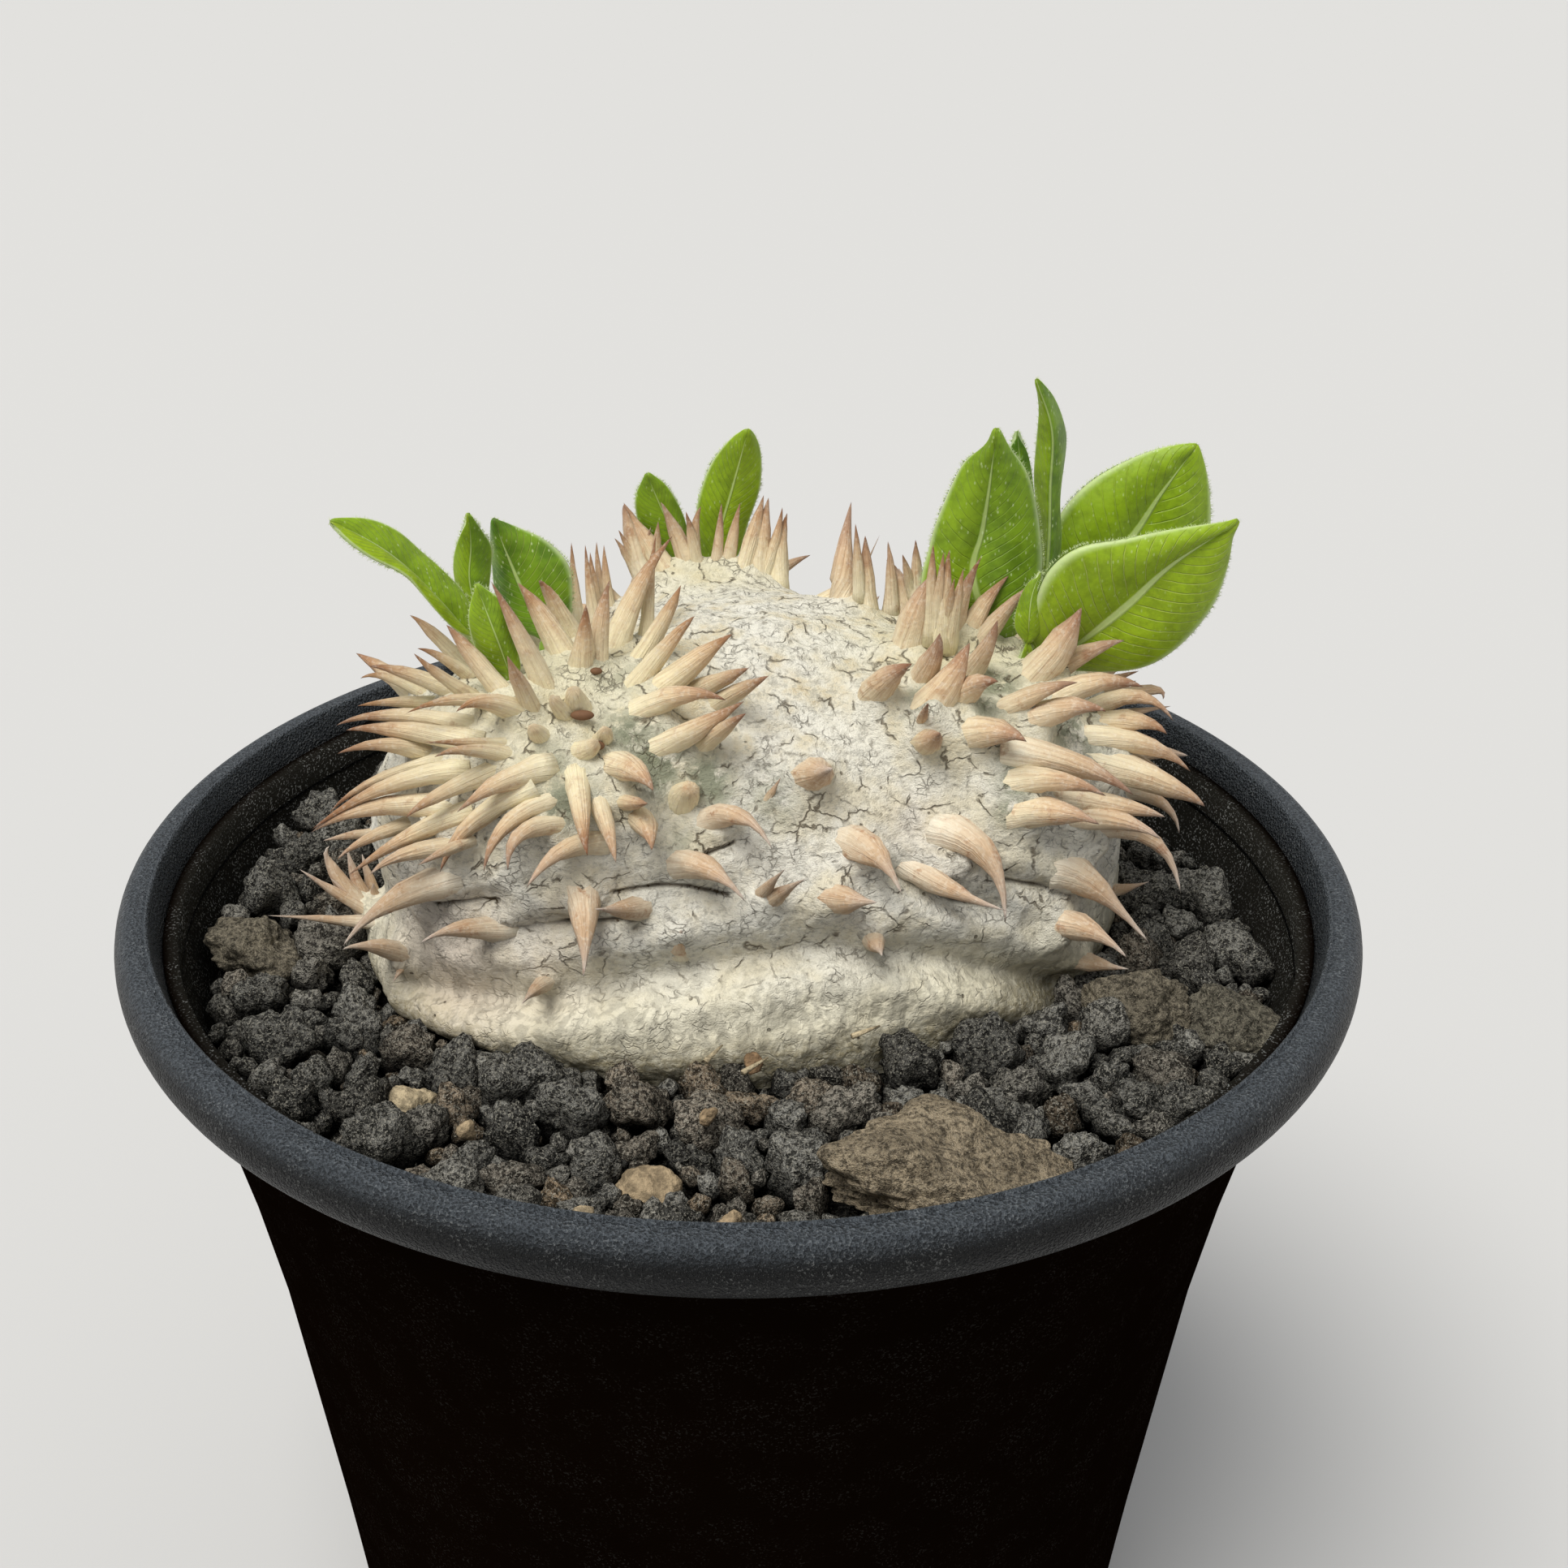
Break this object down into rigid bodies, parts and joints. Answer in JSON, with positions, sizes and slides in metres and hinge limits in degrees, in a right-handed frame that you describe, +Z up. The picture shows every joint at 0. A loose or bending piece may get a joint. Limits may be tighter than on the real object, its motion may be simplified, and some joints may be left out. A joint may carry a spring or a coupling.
{
  "type": "potted pachypodium brevicaule leucoxanthum",
  "caption": "Squat pale caudex succulent with thick spines on its heads and small green leaves, standing in black lava grit in a round black nursery pot.",
  "frame": {"origin": "centre of the pot's flat underside", "axes": "+Z up through the middle of the pot; -Y towards the side shown in the picture; +X to the right in the picture"},
  "size_m": [0.1048, 0.1048, 0.1316],
  "materials": {
    "pot_plastic": "matte moulded black plastic with a faint grain and pale scuffs",
    "lava_grit": null,
    "caudex_bark": "dry pale bark with a net of fine cracks, spines browner at their tips",
    "leaf_green": null,
    "stone_grey": "rough grey-brown lava stone",
    "pebble_tan": "rough tan pumice"
  },
  "bodies": {
    "root": {"pot": "pot_plastic", "grit": "lava_grit", "caudex": "caudex_bark", "leaf_left_low": "leaf_green", "leaf_left_bud": "leaf_green", "leaf_left_broad": "leaf_green", "leaf_left_front": "leaf_green", "leaf_back_left": "leaf_green", "leaf_back_tall": "leaf_green", "leaf_right_broad": "leaf_green", "leaf_right_behind": "leaf_green", "leaf_right_edge": "leaf_green", "leaf_right_far": "leaf_green", "leaf_right_near": "leaf_green", "leaf_right_inner": "leaf_green", "stone_front": "stone_grey", "stone_left": "stone_grey", "stone_right": "stone_grey", "stone_far_right": "stone_grey", "pebble_cream": "pebble_tan", "pebble_tan": "pebble_tan"}
  },
  "joints": []
}
